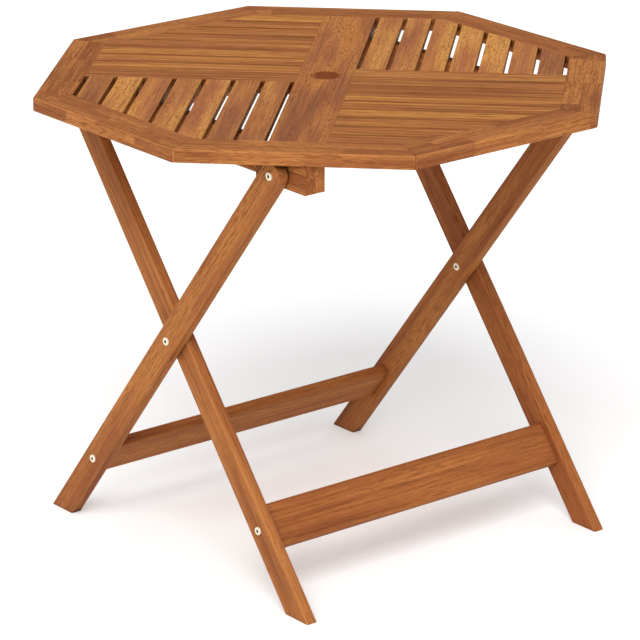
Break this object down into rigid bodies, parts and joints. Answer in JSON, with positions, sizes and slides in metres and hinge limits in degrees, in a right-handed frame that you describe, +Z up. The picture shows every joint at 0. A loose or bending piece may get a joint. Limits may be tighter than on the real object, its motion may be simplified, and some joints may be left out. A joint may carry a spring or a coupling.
{
  "type": "folding garden table",
  "caption": "Octagonal folding garden table in oiled hardwood: slatted top with a parasol hole on scissor legs, the top hooked over a catch bar.",
  "frame": {"origin": "on the floor under the middle of the top", "axes": "+Z up from the floor to the upper face of the top; +X along the folding axes from the left legs to the right legs; -Y the front, the side where the pivot legs carry the top and the catch legs stand on the floor"},
  "size_m": [0.9, 0.9, 0.775],
  "materials": {
    "top_wood": "oiled, fine open pores",
    "batten_wood": "oiled, planed",
    "leg_wood": "oiled, sanded, slightly redder than the top",
    "zinc_steel": "yellow-white zinc plate"
  },
  "bodies": {
    "pivot_frame": {"pivot_leg_left": "leg_wood", "pivot_leg_right": "leg_wood", "pivot_stretcher": "leg_wood", "pivot_frame_screws": "zinc_steel", "top_pivot_bolts": "zinc_steel", "top_pivot_nuts": "zinc_steel", "cross_bolts": "zinc_steel", "cross_nuts": "zinc_steel"},
    "catch_frame": {"catch_leg_left": "leg_wood", "catch_leg_right": "leg_wood", "catch_stretcher": "leg_wood", "catch_bar": "leg_wood", "catch_frame_screws": "zinc_steel"},
    "top": {"rim_front": "top_wood", "rim_front_right": "top_wood", "rim_right": "top_wood", "rim_back_right": "top_wood", "rim_back": "top_wood", "rim_back_left": "top_wood", "rim_left": "top_wood", "rim_front_left": "top_wood", "mitre_keys": "batten_wood", "centre_board": "top_wood", "cross_rail_back_left": "top_wood", "cross_rail_front_right": "top_wood", "left_slat_1": "top_wood", "left_slat_2": "top_wood", "left_slat_3": "top_wood", "left_slat_4": "top_wood", "left_slat_5": "top_wood", "left_slat_6": "top_wood", "left_slat_7": "top_wood", "right_slat_1": "top_wood", "right_slat_2": "top_wood", "right_slat_3": "top_wood", "right_slat_4": "top_wood", "right_slat_5": "top_wood", "right_slat_6": "top_wood", "right_slat_7": "top_wood", "back_board_1": "top_wood", "back_board_2": "top_wood", "back_board_3": "top_wood", "back_board_4": "top_wood", "back_board_5": "top_wood", "back_board_6": "top_wood", "back_board_7": "top_wood", "back_board_8": "top_wood", "front_board_1": "top_wood", "front_board_2": "top_wood", "front_board_3": "top_wood", "front_board_4": "top_wood", "front_board_5": "top_wood", "front_board_6": "top_wood", "front_board_7": "top_wood", "front_board_8": "top_wood", "batten_left": "batten_wood", "batten_right": "batten_wood", "spacer_left": "batten_wood", "spacer_right": "batten_wood", "batten_screws": "zinc_steel"}
  },
  "joints": [
    {"name": "leg_scissor", "type": "hinge", "parent": "pivot_frame", "child": "catch_frame", "pos_m": [0, 0, 0.38763], "axis": [1, 0, 0], "range_deg": [0, 70]},
    {"name": "top_tilt", "type": "hinge", "parent": "pivot_frame", "child": "top", "pos_m": [0, -0.273, 0.729], "axis": [1, 0, 0], "range_deg": [0, 126]}
  ],
  "couplings": [
    {"joint": "top_tilt", "follows": "leg_scissor", "ratio": 1.8}
  ]
}
